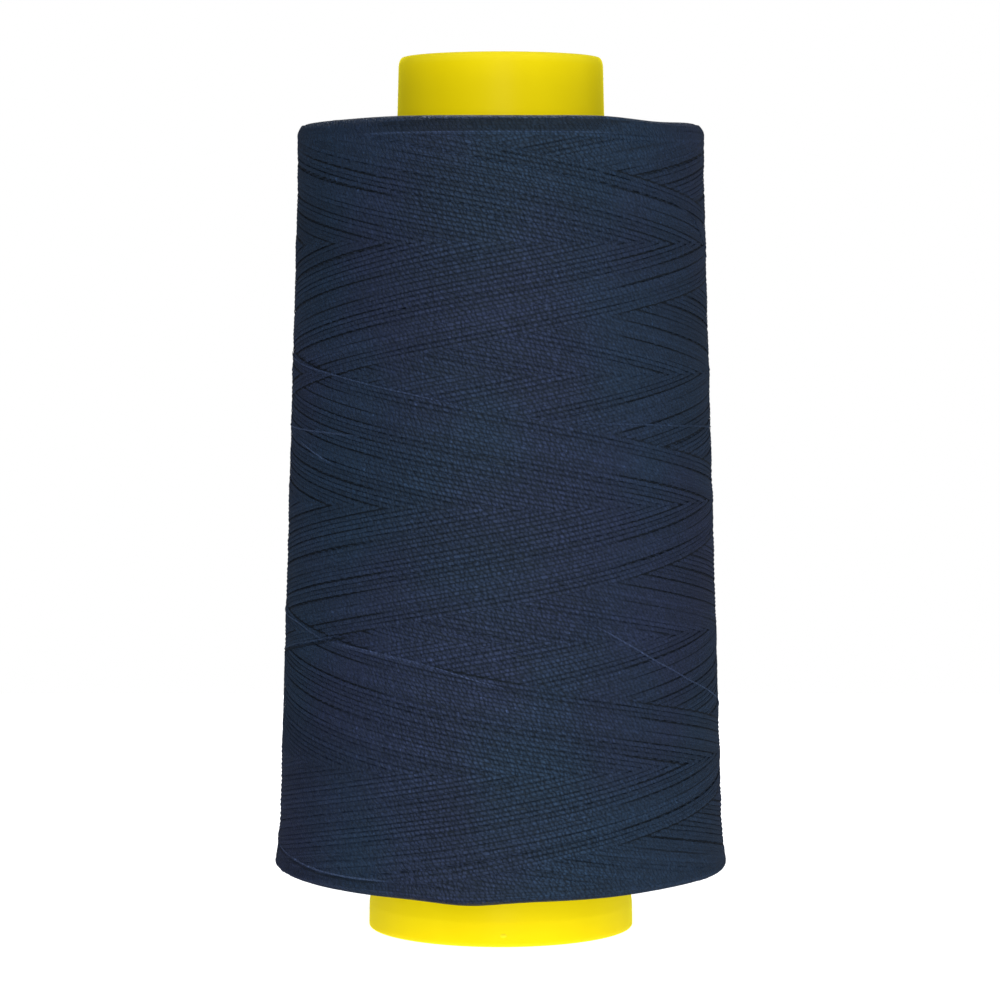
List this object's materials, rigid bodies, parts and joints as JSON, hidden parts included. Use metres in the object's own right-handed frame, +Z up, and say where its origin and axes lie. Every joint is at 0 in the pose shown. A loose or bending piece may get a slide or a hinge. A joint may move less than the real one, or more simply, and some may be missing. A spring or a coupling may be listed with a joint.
{
  "type": "cone of thread",
  "caption": "Sewing thread wound crosswise in a tapered sleeve on a hollow, slightly conical plastic tube, for feeding a sewing machine or overlocker.",
  "frame": {"origin": "on the axis of the plastic cone, at the level of its foot, which stands on the surface", "axes": "+Z up along the axis towards the bare collar; -Y is the side that faces the viewer; +X is to the viewer's right"},
  "size_m": [0.0747, 0.0743, 0.145],
  "materials": {
    "core_plastic": "satin yellow polypropylene",
    "thread_yarn": "dark navy spun polyester sewing thread, soft low sheen"
  },
  "bodies": {
    "root": {"core": "core_plastic", "thread": "thread_yarn"}
  },
  "joints": []
}
